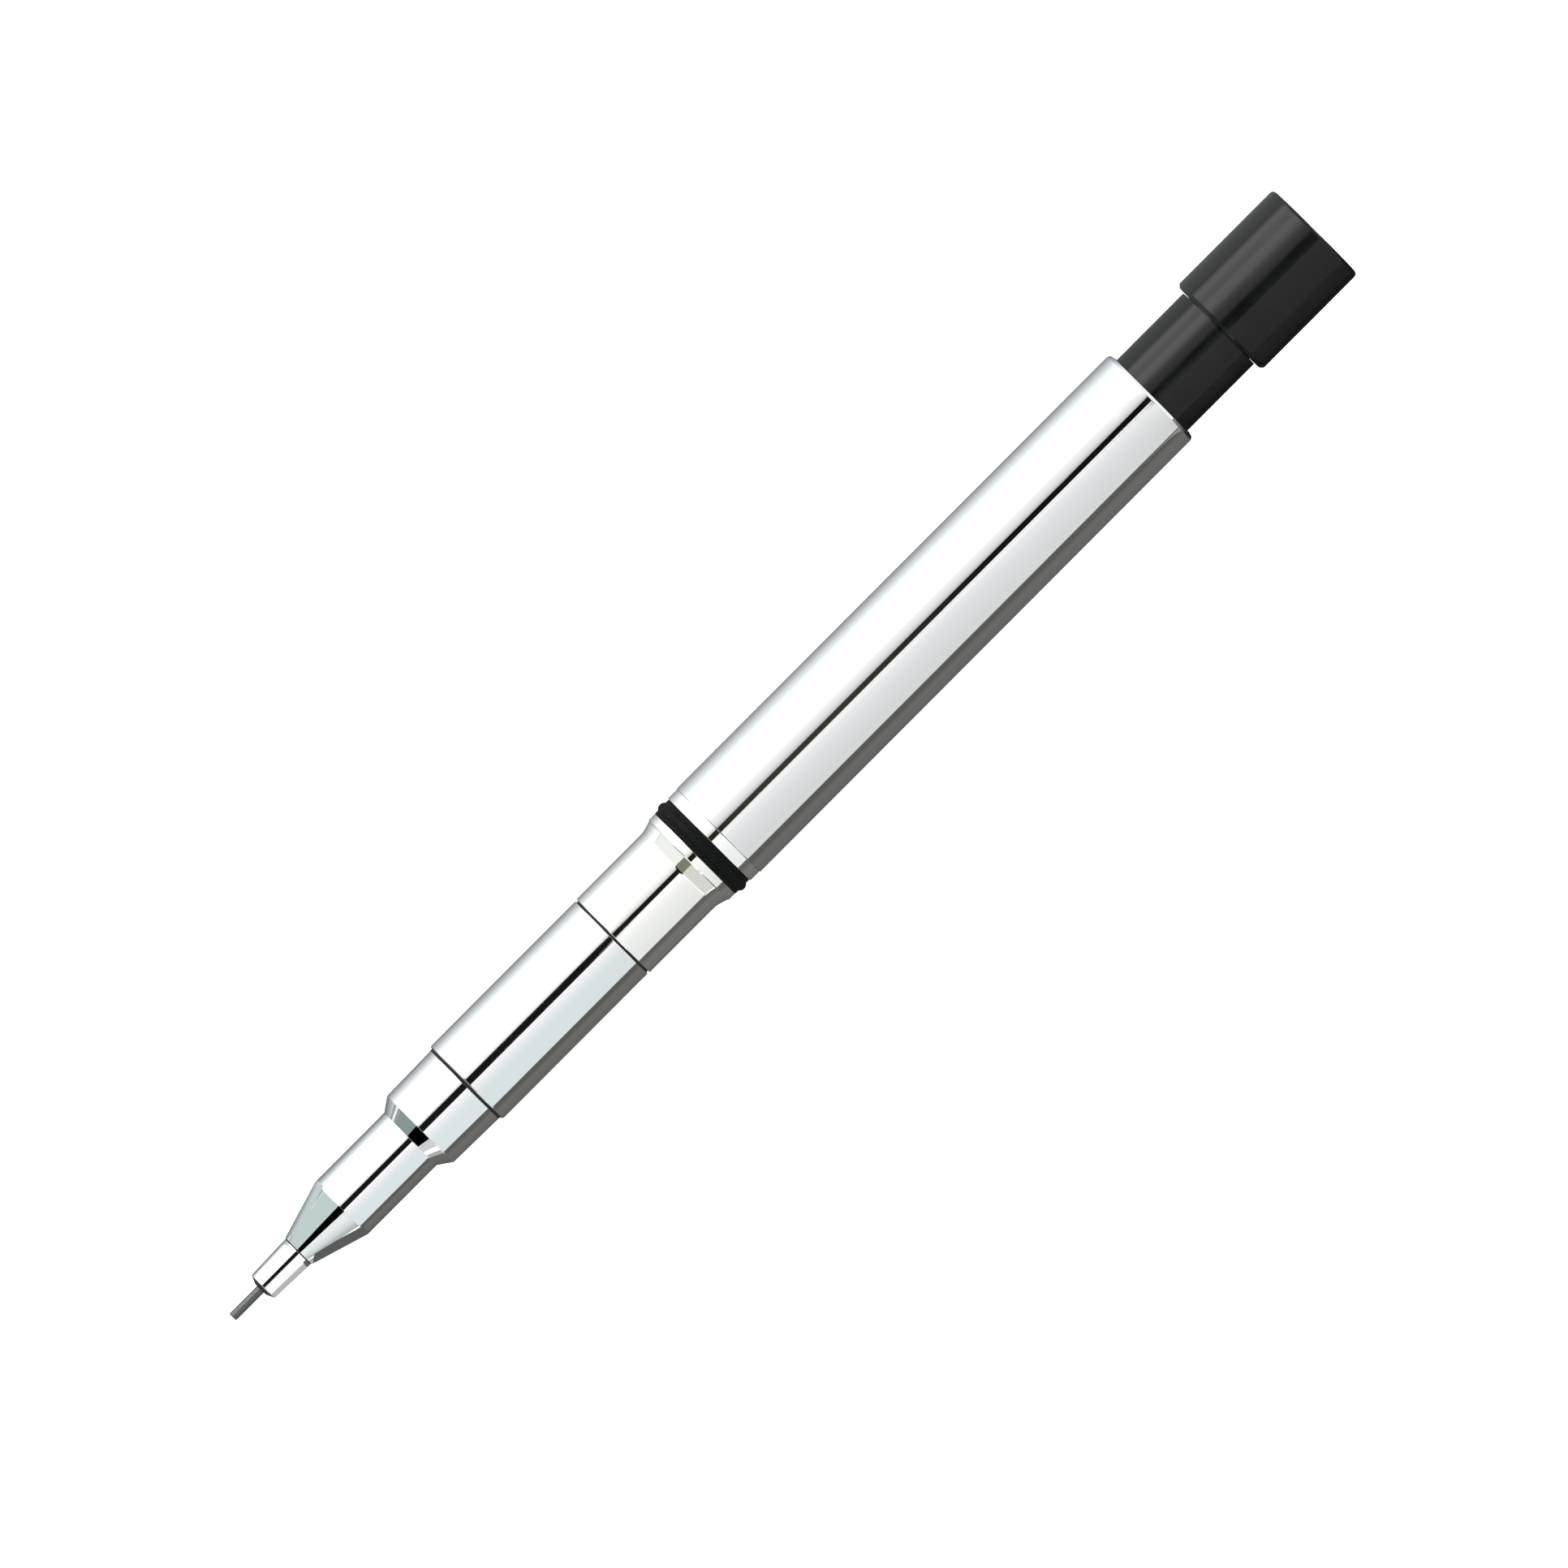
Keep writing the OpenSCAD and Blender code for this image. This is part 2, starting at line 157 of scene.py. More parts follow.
def rounded(corners, closed=True):
    """Points and normals of a profile given by (station, radius, rounding) corners.

    A corner with no rounding is a point of a smooth curve. An open profile starts and ends on
    the axis.
    """
    points = []
    normals = []
    count = len(corners)
    for index, (station, radius, rounding) in enumerate(corners):
        here = Vector((station, radius))
        before = Vector(corners[index - 1][:2])
        after = Vector(corners[(index + 1) % count][:2])
        first = (here - before).normalized()
        second = (after - here).normalized()
        if not closed and index == 0:
            first = second
        if not closed and index == count - 1:
            second = first
        turn = first.x * second.y - first.y * second.x
        bend = math.atan2(turn, first.dot(second))
        if rounding == 0 or abs(bend) < 0.01:
            points.append(here)
            normals.append((left_of(first) + left_of(second)).normalized())
            continue
        room = 0.49 * min((here - before).length, (after - here).length)
        reach = min(rounding * math.tan(abs(bend) / 2), room)
        arc_radius = reach / math.tan(abs(bend) / 2)
        side = 1 if bend > 0 else -1
        start = here - first * reach
        centre = start + left_of(first) * arc_radius * side
        for step in range(ARC_STEPS + 1):
            angle = bend * step / ARC_STEPS
            normal = left_of(first)
            turned = Vector((
                normal.x * math.cos(angle) - normal.y * math.sin(angle),
                normal.x * math.sin(angle) + normal.y * math.cos(angle),
            ))
            points.append(centre - turned * arc_radius * side)
            normals.append(turned)
    return points, normals


def with_rows(points, normals, from_s, to_s):
    """A profile with extra points along its straight runs between two stations."""
    count = len(points)
    more_points = []
    more_normals = []
    for index in range(count):
        here = points[index]
        after = points[(index + 1) % count]
        more_points.append(here)
        more_normals.append(normals[index])
        ahead = min(here.x, after.x) < from_s - ROW_MARGIN
        behind = max(here.x, after.x) > to_s + ROW_MARGIN
        parts = 0 if ahead or behind else int((after - here).length / ROW_STEP)
        for part in range(1, parts):
            more_points.append(here.lerp(after, part / parts))
            more_normals.append(normals[index])
    return more_points, more_normals


def thread_wave(station, angle, thread):
    """Height and slopes of a thread at a station and an angle, fading out at both ends."""
    from_s, to_s, _ = thread
    phase = 2 * math.pi * (station / THREAD_PITCH - angle / (2 * math.pi))
    ahead = max(0, (station - from_s) / THREAD_FADE)
    behind = max(0, (to_s - station) / THREAD_FADE)
    fade = min(1, ahead, behind)
    height = THREAD_DEPTH * fade * (0.5 - 0.5 * math.cos(phase))
    along = THREAD_DEPTH * fade * math.pi / THREAD_PITCH * math.sin(phase)
    around = -THREAD_DEPTH * fade * 0.5 * math.sin(phase)
    return height, along, around


def lathe(name, corners, sides=SIDES, closed=True, thread=None, rows=None, centre=(0, 0)):
    """A mesh turned about the pencil's axis from a profile's corners, with exact normals.

    thread is (from station, to station, radius) of a helical wave on the surface of that radius,
    and rows are the two stations between which the profile gets the points that a thread needs.
    centre is the turning axis's own offset in Y and Z, in millimetres.
    """
    points, normals = rounded(corners, closed)
    if rows:
        points, normals = with_rows(points, normals, *rows)
    count = len(points)
    vertices = []
    vertex_normals = []
    index_of = {}
    for side in range(sides):
        angle = 2 * math.pi * side / sides
        for row, (point, normal) in enumerate(zip(points, normals)):
            on_axis = point.y < 1e-6
            if on_axis and side > 0:
                index_of[side, row] = index_of[0, row]
                continue
            radius = point.y
            n_along, n_out, n_around = normal.x, normal.y, 0.0
            threaded = thread and abs(radius - thread[2]) < 1e-3 and abs(normal.y) > 0.9
            if threaded and thread[0] < point.x < thread[1]:
                height, along, around = thread_wave(point.x, angle, thread)
                radius += height
                sign = 1 if normal.y > 0 else -1
                slope = Vector((-along, 1, -around / radius)).normalized() * sign
                n_along, n_out, n_around = slope
            cos_a = math.cos(angle)
            sin_a = math.sin(angle)
            index_of[side, row] = len(vertices)
            vertices.append((
                TIP_X + point.x * MM,
                (radius * sin_a + centre[0]) * MM,
                AXIS_Z + (radius * cos_a + centre[1]) * MM,
            ))
            vertex_normals.append((
                n_along,
                n_out * sin_a + n_around * cos_a,
                n_out * cos_a - n_around * sin_a,
            ))
    faces = []
    bands = count if closed else count - 1
    for side in range(sides):
        beside = (side + 1) % sides
        for row in range(bands):
            below = (row + 1) % count
            ring = [
                index_of[side, row],
                index_of[side, below],
                index_of[beside, below],
                index_of[beside, row],
            ]
            face = list(dict.fromkeys(ring))
            if len(face) > 2:
                faces.append(face)
    return mesh_object(name, vertices, faces, vertex_normals)


def mesh_object(name, vertices, faces, vertex_normals=None):
    """A smooth-shaded object from vertices and faces, linked into the scene."""
    mesh = bpy.data.meshes.new(name)
    mesh.from_pydata(vertices, [], faces)
    mesh.update()
    mesh.shade_smooth()
    if vertex_normals:
        mesh.normals_split_custom_set_from_vertices(vertex_normals)
    piece = bpy.data.objects.new(name, mesh)
    bpy.context.scene.collection.objects.link(piece)
    return piece


def plain_ring(name, node, bore, rounding, sides=SMALL_SIDES):
    """A plain ring as long and as wide as its CAD node."""
    front, rear, radius = span(node)
    corners = [(front, bore), (front, radius), (rear, radius), (rear, bore)]
    return lathe(name, [(*corner, rounding) for corner in corners], sides)


def rod(name, node, roundings, sides, centre=(0, 0)):
    """A lead as long as its CAD node, with a small chamfer at both ends."""
    front, rear, _ = span(node)
    radius = span("lead")[2]
    inner = radius - LEAD_CHAMFER
    corners = [
        (front, 0, 0),
        (front, inner, roundings[0]),
        (front + LEAD_CHAMFER, radius, roundings[1]),
        (rear - LEAD_CHAMFER, radius, roundings[2]),
        (rear, inner, roundings[3]),
        (rear, 0, 0),
    ]
    return lathe(name, corners, sides, closed=False, centre=centre)


def joined(name, pieces):
    """One object that holds the meshes of several."""
    vertices = []
    faces = []
    normals = []
    for piece in pieces:
        offset = len(vertices)
        vertices += [tuple(v.co) for v in piece.data.vertices]
        faces += [[offset + v for v in f.vertices] for f in piece.data.polygons]
        normals += [tuple(n.vector) for n in piece.data.vertex_normals]
        bpy.data.objects.remove(piece)
    return mesh_object(name, vertices, faces, normals)


def paint_shade_band(piece, from_s, to_s, material, from_r=0.0):
    """Gives the faces between two stations a second finish: painted shade, where a groove or an end face is in
    shadow.

    Faces nearer to the axis than from_r keep the first finish.
    """
    if len(piece.data.materials) == 1:
        piece.data.materials.append(material)
    for face in piece.data.polygons:
        station = (face.center.x - TIP_X) / MM
        radius = math.hypot(face.center.y, face.center.z - AXIS_Z) / MM
        if from_s < station < to_s and radius > from_r:
            face.material_index = 1


def fit(piece, node, material):
    """Gives the piece its finish, and puts it on its node's body in the node's place."""
    piece.data.materials.append(material)
    body = next(b for b, nodes in BODIES.items() if node in nodes)
    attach(piece, body)
    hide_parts(node)
    return piece


# ---- materials

class Finish:
    """A material with one Principled shader, and helpers that add the nodes of its pattern."""

    def __init__(self, name, colour, metallic=0.0, roughness=0.5, specular=0.5):
        self.material = bpy.data.materials.new(name)
        self.material.use_nodes = True
        self.nodes = self.material.node_tree.nodes
        self.links = self.material.node_tree.links
        self.shader = self.nodes["Principled BSDF"]
        self.set("Base Color", (*colour, 1))
        self.set("Metallic", metallic)
        self.set("Roughness", roughness)
        self.set("Specular IOR Level", specular)
        self.place = self.nodes.new("ShaderNodeTexCoord").outputs["Object"]

    def set(self, socket, value):
        self.shader.inputs[socket].default_value = value

    def scaled(self, scale, turn=(0, 0, 0)):
        """The piece's own coordinates, turned and stretched."""
        mapping = self.nodes.new("ShaderNodeMapping")
        mapping.inputs["Scale"].default_value = scale
        mapping.inputs["Rotation"].default_value = turn
        self.links.new(self.place, mapping.inputs["Vector"])
        return mapping.outputs["Vector"]

    def noise(self, place, detail=3.0, roughness=0.5):
        """Cloudy noise, from 0 to 1."""
        node = self.nodes.new("ShaderNodeTexNoise")
        node.inputs["Scale"].default_value = 1.0
        node.inputs["Detail"].default_value = detail
        node.inputs["Roughness"].default_value = roughness
        self.links.new(place, node.inputs["Vector"])
        return node.outputs["Fac"]

    def cloud(self, scale, detail=3.0, roughness=0.5):
        """Cloudy noise that is equally fine in all directions."""
        return self.noise(self.scaled((scale, scale, scale)), detail, roughness)

    def hairlines(self, place, width):
        """Thin scratches where stretched cells meet: 1 on a scratch, 0 elsewhere."""
        node = self.nodes.new("ShaderNodeTexVoronoi")
        node.feature = "DISTANCE_TO_EDGE"
        node.inputs["Scale"].default_value = 1
        self.links.new(place, node.inputs["Vector"])
        return self.ranged(node.outputs["Distance"], 0, width, 1, 0)

    def ranged(self, value, from_low, from_high, to_low, to_high):
        """A value carried from one range to another, clamped."""
        node = self.nodes.new("ShaderNodeMapRange")
        node.inputs["From Min"].default_value = from_low
        node.inputs["From Max"].default_value = from_high
        node.inputs["To Min"].default_value = to_low
        node.inputs["To Max"].default_value = to_high
        self.links.new(value, node.inputs["Value"])
        return node.outputs["Result"]

    def math(self, operation, first, second):
        """Two values combined, where the second may be a number."""
        node = self.nodes.new("ShaderNodeMath")
        node.operation = operation
        self.links.new(first, node.inputs[0])
        if isinstance(second, (int, float)):
            node.inputs[1].default_value = second
        else:
            self.links.new(second, node.inputs[1])
        return node.outputs[0]

    def drive(self, socket, value):
        """Lets a pattern drive one of the shader's sockets."""
        self.links.new(value, self.shader.inputs[socket])

    def colours(self, value, stops):
        """A pattern's values as colours, from (position, colour) stops."""
        node = self.nodes.new("ShaderNodeValToRGB")
        ramp = node.color_ramp
        while len(ramp.elements) < len(stops):
            ramp.elements.new(0.5)
        for element, (position, colour) in zip(ramp.elements, stops):
            element.position = position
            element.color = (*colour, 1)
        self.links.new(value, node.inputs["Fac"])
        self.drive("Base Color", node.outputs["Color"])

    def bump(self, height, distance, strength=1.0):
        """Raises the surface by the pattern's height, in metres at 1."""
        node = self.nodes.new("ShaderNodeBump")
        node.inputs["Strength"].default_value = strength
        node.inputs["Distance"].default_value = distance
        self.links.new(height, node.inputs["Height"])
        self.drive("Normal", node.outputs["Normal"])


def shade(colour, factor):
    """A colour made darker or lighter."""
    return tuple(part * factor for part in colour)


def chrome(name, tint):
    """Bright chromium plate: nearly a mirror, with smudges, hairlines and turning marks."""
    finish = Finish(name, tint, metallic=1.0, roughness=0.04)
    clouds = finish.noise(finish.scaled((220, 420, 420)), detail=5, roughness=0.62)
    tone = finish.noise(finish.scaled((60, 160, 160)), detail=2)
    lengthwise = finish.hairlines(finish.scaled((260, 1500, 1500), (0.02, 0.03, 0.04)), 0.012)
    crosswise = finish.hairlines(finish.scaled((1300, 300, 300), (0.3, 0.1, 0.2)), 0.01)
    turning = finish.noise(finish.scaled((9000, 1, 1)), detail=2)
    patches = finish.ranged(clouds, 0.45, 0.75, 0, 1)
    marks = finish.math("MAXIMUM", finish.math("MULTIPLY", lengthwise, 0.8), crosswise)
    worn = finish.math("MULTIPLY", marks, patches)
    rough = finish.math("ADD", finish.ranged(clouds, 0.35, 0.75, 0.025, 0.055),
                        finish.math("MULTIPLY", worn, 0.06))
    finish.drive("Roughness", rough)
    finish.colours(tone, [(0.3, shade(tint, 0.985)), (0.7, tint)])
    height = finish.math("SUBTRACT", finish.math("MULTIPLY", turning, 0.3), worn)
    finish.bump(height, 0.0000012, 0.35)
    return finish.material


def black_plastic(name):
    """Black moulded plastic with a half gloss, fine orange peel and handling marks."""
    finish = Finish(name, (0.005, 0.0055, 0.005), roughness=0.12, specular=0.24)
    peel = finish.cloud(1800, detail=2)
    clouds = finish.noise(finish.scaled((260, 380, 380)), detail=5, roughness=0.6)
    lines = finish.hairlines(finish.scaled((240, 1300, 1300), (0.05, 0.02, 0.06)), 0.012)
    patches = finish.ranged(clouds, 0.5, 0.75, 0, 1)
    worn = finish.math("MULTIPLY", lines, patches)
    rough = finish.math("ADD", finish.ranged(clouds, 0.3, 0.75, 0.1, 0.19),
                        finish.math("MULTIPLY", worn, 0.15))
    finish.drive("Roughness", rough)
    finish.colours(clouds, [(0.35, (0.004, 0.0044, 0.004)), (0.7, (0.0065, 0.007, 0.0065))])
    finish.bump(finish.math("SUBTRACT", peel, worn), 0.0000015, 0.5)
    return finish.material


def black_rubber(name):
    """Matt black rubber with a fine dry grain and a few light specks of dust."""
    finish = Finish(name, (0.004, 0.004, 0.004), roughness=0.6, specular=0.06)
    grain = finish.cloud(5200, detail=4, roughness=0.7)
    clouds = finish.cloud(700)
    finish.drive("Roughness", finish.ranged(clouds, 0.3, 0.7, 0.52, 0.74))
    finish.colours(grain, [(0.3, (0.003, 0.003, 0.003)), (0.62, (0.006, 0.006, 0.006)),
                           (0.78, (0.035, 0.035, 0.033))])
    finish.bump(grain, 0.000012, 0.5)
    return finish.material


def painted_seam_shade(name):
    """Painted shade for the bottom of a seam and for end faces in shadow: nearly black, dry and uneven."""
    finish = Finish(name, (0.02, 0.02, 0.018), roughness=0.7, specular=0.2)
    shade_mottle = finish.cloud(3000, detail=4, roughness=0.7)
    finish.colours(shade_mottle, [(0.35, (0.008, 0.008, 0.007)), (0.7, (0.035, 0.033, 0.029))])
    finish.drive("Roughness", finish.ranged(shade_mottle, 0.3, 0.7, 0.6, 0.9))
    finish.bump(shade_mottle, 0.00001, 0.5)
    return finish.material


def graphite(name):
    """Graphite lead: satin dark grey, drawn lengthwise, with glints of flake."""
    finish = Finish(name, (0.05, 0.05, 0.048), roughness=0.45, specular=0.9)
    streaks = finish.noise(finish.scaled((500, 9000, 9000)))
    flakes = finish.cloud(9000, detail=2)
    finish.drive("Roughness", finish.ranged(flakes, 0.3, 0.75, 0.5, 0.4))
    finish.colours(streaks, [(0.3, (0.042, 0.042, 0.04)), (0.7, (0.062, 0.062, 0.059))])
    finish.bump(finish.math("ADD", streaks, flakes), 0.000004, 0.5)
    return finish.material


def turned_brass(name):
    """Brass from the lathe: fine rings round the axis and a little tarnish."""
    finish = Finish(name, (0.78, 0.6, 0.3), metallic=1.0, roughness=0.28)
    rings = finish.noise(finish.scaled((7000, 1, 1)))
    tarnish = finish.cloud(500, detail=4)
    finish.colours(tarnish, [(0.3, (0.62, 0.45, 0.2)), (0.65, (0.82, 0.64, 0.33))])
    finish.drive("Roughness", finish.ranged(tarnish, 0.3, 0.7, 0.4, 0.22))
    finish.bump(rings, 0.000004, 0.6)
    return finish.material


def drawn_steel(name):
    """Drawn steel: a grey metal with fine lengthwise draw lines."""
    finish = Finish(name, (0.62, 0.63, 0.64), metallic=1.0, roughness=0.25)
    lines = finish.noise(finish.scaled((400, 8000, 8000)))
    clouds = finish.cloud(900)
    finish.drive("Roughness", finish.ranged(clouds, 0.3, 0.7, 0.2, 0.36))
    finish.colours(clouds, [(0.3, (0.55, 0.56, 0.57)), (0.7, (0.66, 0.67, 0.68))])
    finish.bump(lines, 0.000003, 0.5)
    return finish.material


def moulded_plastic(name, colour, roughness):
    """Plain moulded plastic with a soft surface and slight mottling."""
    finish = Finish(name, colour, roughness=roughness, specular=0.45)
    clouds = finish.cloud(500)
    grain = finish.cloud(4500)
    finish.colours(clouds, [(0.3, shade(colour, 0.94)), (0.7, colour)])
    finish.drive("Roughness", finish.ranged(grain, 0.3, 0.7, roughness - 0.06, roughness + 0.08))
    finish.bump(grain, 0.000004, 0.5)
    return finish.material


def eraser_rubber(name):
    """White eraser rubber: matt and dry, with a fine crumb and faint grey smudges."""
    finish = Finish(name, (0.66, 0.66, 0.64), roughness=0.85, specular=0.2)
    crumb = finish.cloud(2600, detail=5, roughness=0.7)
    smudges = finish.cloud(450, detail=4, roughness=0.6)
    finish.colours(smudges, [(0.3, (0.52, 0.52, 0.5)), (0.55, (0.66, 0.66, 0.64))])
    finish.drive("Roughness", finish.ranged(crumb, 0.3, 0.7, 0.78, 0.95))
    finish.bump(crumb, 0.00002, 0.5)
    return finish.material


# ---- nose

def make_lead():
    """The writing lead, with a worn edge at its point."""
    return rod("writing_lead", "lead", (0.04, 0.06, 0.04, 0.03), SMALL_SIDES)


def make_tip_guide():
    """The bored tip: a steep front chamfer, a slight taper and the spigot inside the cone."""
    front, rear, radius = span("tip_guide")
    shoulder = span("nose_cone")[0]
    corners = [
        (front, 0.5, 0.02),
        (front, 0.7, 0.03),
        (front + 0.35, 1.5, 0.09),
        (shoulder - 0.06, radius, 0.03),
        (shoulder, radius - 0.08, 0.02),
        (shoulder, 1.2, 0.02),
        (rear, 1.2, 0.06),
        (rear, 0.5, 0.03),
    ]
    return lathe("turned_tip", corners, 112)


def make_nose_cone():
    """Cone, nose cylinder, chamfer and collar, with the threaded spigot behind them."""
    front, rear, radius = span("nose_cone")
    seam_rear = span("front_barrel")[0]
    seam_front = seam_rear - SEAM
    nose_front = front + 5.6
    step_front = nose_front + 8.9
    root = SPIGOT_CREST - THREAD_DEPTH
    retainer_front, retainer_rear, _ = span("lead_retainer")
    stop = span("clutch_ring")[0] - joint_travel("clutch_slide") - 0.03
    corners = [
        (front, 1.2, 0.02),
        (front, 1.65, 0.02),
        (front + 0.06, 1.73, 0.02),
        (nose_front, 3.4, 0.12),
        (step_front, 3.4, 0.1),
        (seam_front - 5.7, 4.3, 0.12),
        (seam_front, radius, 0.1),
        (seam_front, 4.42, 0.02),
        (seam_rear, 4.42, 0.02),
        (seam_rear, root, 0.03),
        (rear - 0.3, root, 0.1),
        (rear, root - 0.15, 0.03),
        (rear, 2.7, 0.03),
        (stop, 2.7, 0.05),
        (stop, 2.0, 0.03),
        (retainer_rear + 0.15, 2.0, 0.03),
        (retainer_rear + 0.15, 1.7, 0.02),
        (retainer_front, 1.7, 0.02),
        (retainer_front, 1.2, 0.02),
    ]
    thread = (seam_rear + 0.6, rear - 0.1, root)
    return lathe("turned_nose", corners, thread=thread, rows=(seam_rear, rear))


def make_lead_retainer():
    """The rubber bush in the cone."""
    return plain_ring("rubber_bush", "lead_retainer", 0.465, 0.12)


# ---- clutch and feed

def make_clutch_ring():
    """The brass ring that wedges the jaws shut, with a tapered bore."""
    front, rear, radius = span("clutch_ring")
    corners = [
        (front, 1.7425, 0.05),
        (front, radius - 0.15, 0.03),
        (front + 0.15, radius, 0.05),
        (rear - 0.15, radius, 0.05),
        (rear, radius - 0.15, 0.03),
        (rear, 1.502, 0.04),
    ]
    return lathe("wedge_ring", corners, SMALL_SIDES)


def make_chuck_sleeve():
    """The brass sleeve that houses the spring, with the flange that holds it in the barrel."""
    front, rear, flange_r = span("chuck_sleeve")
    flange_front = span("front_barrel")[0] + 5.8
    seat = span("spring_seat")[0]
    corners = [
        (front, 1.65, 0.05),
        (front, 2.35, 0.03),
        (front + 0.15, 2.5, 0.05),
        (flange_front, 2.5, 0.08),
        (flange_front, flange_r, 0.08),
        (flange_front + 3, flange_r, 0.08),
        (flange_front + 3, 2.7, 0.08),
        (rear, 2.7, 0.08),
        (rear, 2.2, 0.05),
        (seat, 2.2, 0.05),
        (seat, 1.35, 0.03),
        (front + 0.6, 1.35, 0.03),
        (front + 0.6, 1.65, 0.03),
    ]
    return lathe("spring_sleeve", corners, 96)


def make_spring_seat():
    """The washer under the spring."""
    return plain_ring("spring_washer", "spring_seat", 1.35, 0.08)


def make_return_spring():
    """The coil spring: a round wire on a helix, with close end turns."""
    wire = 0.34
    centre_r = 1.62
    turns = 7
    steps = 40
    wire_sides = 14
    front, rear, _ = span("return_spring")
    start = front + wire / 2
    length = rear - front - wire
    close = wire * 1.08
    pitch = (length - 2 * close) / (turns - 2)
    vertices = []
    for step in range(turns * steps + 1):
        turn = step / steps
        angle = 2 * math.pi * turn
        if turn < 1:
            rise = turn * close
        elif turn > turns - 1:
            rise = length - (turns - turn) * close
        else:
            rise = close + (turn - 1) * pitch
        for side in range(wire_sides):
            around = 2 * math.pi * side / wire_sides
            reach = centre_r + wire / 2 * math.cos(around)
            vertices.append((
                TIP_X + (start + rise + wire / 2 * math.sin(around)) * MM,
                reach * math.sin(angle) * MM,
                AXIS_Z - reach * math.cos(angle) * MM,
            ))
    faces = []
    for step in range(turns * steps):
        for side in range(wire_sides):
            beside = (side + 1) % wire_sides
            faces.append([
                step * wire_sides + side,
                step * wire_sides + beside,
                (step + 1) * wire_sides + beside,
                (step + 1) * wire_sides + side,
            ])
    last = turns * steps * wire_sides
    faces.append(list(range(wire_sides - 1, -1, -1)))
    faces.append([last + side for side in range(wire_sides)])
    return mesh_object("coil_spring", vertices, faces)


def make_lead_tube():
    """The tube that holds the spare leads and pushes the chuck."""
    return plain_ring("reservoir_tube", "lead_tube", TUBE_BORE, 0.06)


def make_spare_leads():
    """Three spare leads round the tube's axis."""
    circle = TUBE_BORE - span("lead")[2] - 0.06
    rods = []
    for spare in range(3):
        angle = 2 * math.pi * spare / 3
        centre = (circle * math.sin(angle), -circle * math.cos(angle))
        rods.append(rod("spare", "spare_leads", (0.03, 0.05, 0.05, 0.03), 40, centre))
    return joined("spare_lead_set", rods)


# ---- barrel

def make_front_barrel():
    """The front tube: rounded ends outside, and the nose's thread cut into its bore."""
    front, rear, radius = span("front_barrel")
    corners = [
        (front, THREAD_CREST, 0.08),
        (front, SEAM_FLOOR, 0),
        (front, radius - 0.15, 0.1),
        (front + 0.15, radius, 0.2),
        (rear - 0.05, radius, 0.04),
        (rear, radius - 0.05, 0.03),
        (rear, THREAD_CREST, 0.03),
    ]
    thread = (front + 0.1, front + 5.7, THREAD_CREST)
    return lathe("front_tube", corners, thread=thread, rows=(front, rear))


def make_connector():
    """The middle piece: straight sleeve, flare and band, then the seat of the rubber ring."""
    front, rear, band_r = span("connector")
    sleeve_front = span("front_barrel")[1] + SEAM
    flare_front = sleeve_front + 8.5
    band_front = flare_front + 1.3
    ring_front = span("o_ring")[0]
    barrel_front = span("rear_barrel")[0]
    corners = [
        (front, 2.4, 0.06),
        (front, THREAD_CREST, 0.1),
        (sleeve_front - SEAM, THREAD_CREST, 0.02),
        (sleeve_front - SEAM, 4.52, 0.01),
        (sleeve_front, 4.52, 0.01),
        (sleeve_front, 4.69, 0.02),
        (sleeve_front + 0.05, 4.74, 0.04),
        (flare_front, 4.74, 1.2),
        (flare_front + 0.52, 4.86, 0.8),
        (band_front - 0.1, 5.07, 0.04),
        (band_front, band_r, 0.05),
        (ring_front, band_r, 0.05),
        (ring_front, RING_SEAT, 0.01),
        (barrel_front, RING_SEAT, 0.01),
        (barrel_front, BARREL_BORE, 0.02),
        (rear, BARREL_BORE, 0.1),
        (rear, 2.4, 0.06),
    ]
    return lathe("flared_connector", corners)


def make_o_ring():
    """The rubber ring: low shoulders and a round crown along its middle."""
    front, rear, radius = span("o_ring")
    shoulder = 5.2
    crown = 0.62
    middle = (front + rear) / 2
    centre_r = radius - crown
    half = math.acos((shoulder - centre_r) / crown)
    corners = [
        (front, RING_SEAT, 0.02),
        (front, shoulder, 0.07),
    ]
    steps = 16
    for step in range(steps + 1):
        angle = -half + 2 * half * step / steps
        corners.append((
            middle + crown * math.sin(angle),
            centre_r + crown * math.cos(angle),
            0,
        ))
    corners += [
        (rear, shoulder, 0.07),
        (rear, RING_SEAT, 0.02),
    ]
    return lathe("rubber_ring", corners)


def make_joint_ring():
    """The narrow bright ring behind the rubber ring."""
    front, rear, radius = span("joint_ring")
    corners = [
        (front, RING_SEAT, 0.01),
        (front, radius, 0.07),
        (rear, radius, 0.07),
        (rear, RING_SEAT, 0.01),
    ]
    return lathe("bright_ring", corners)


def make_rear_barrel():
    """The long rear tube, with a chamfered rim and the lip that keeps the bush in."""
    front, rear, radius = span("rear_barrel")
    corners = [
        (front, BARREL_BORE, 0.03),
        (front, radius - 0.04, 0.03),
        (front + 0.04, radius, 0.05),
        (rear - 0.4, radius, 0.12),
        (rear - 0.1, radius - 0.2, 0.12),
        (rear, 4.77, 0.03),
        (rear, BUSH_BORE, 0.03),
        (rear - 0.6, BUSH_BORE, 0.03),
        (rear - 0.6, BARREL_BORE, 0.02),
    ]
    return lathe("rear_tube", corners)


def make_guide_bush():
    """The plastic bush in the rear tube."""
    return plain_ring("plunger_bush", "guide_bush", BUSH_BORE, 0.06, 128)


# ---- push button

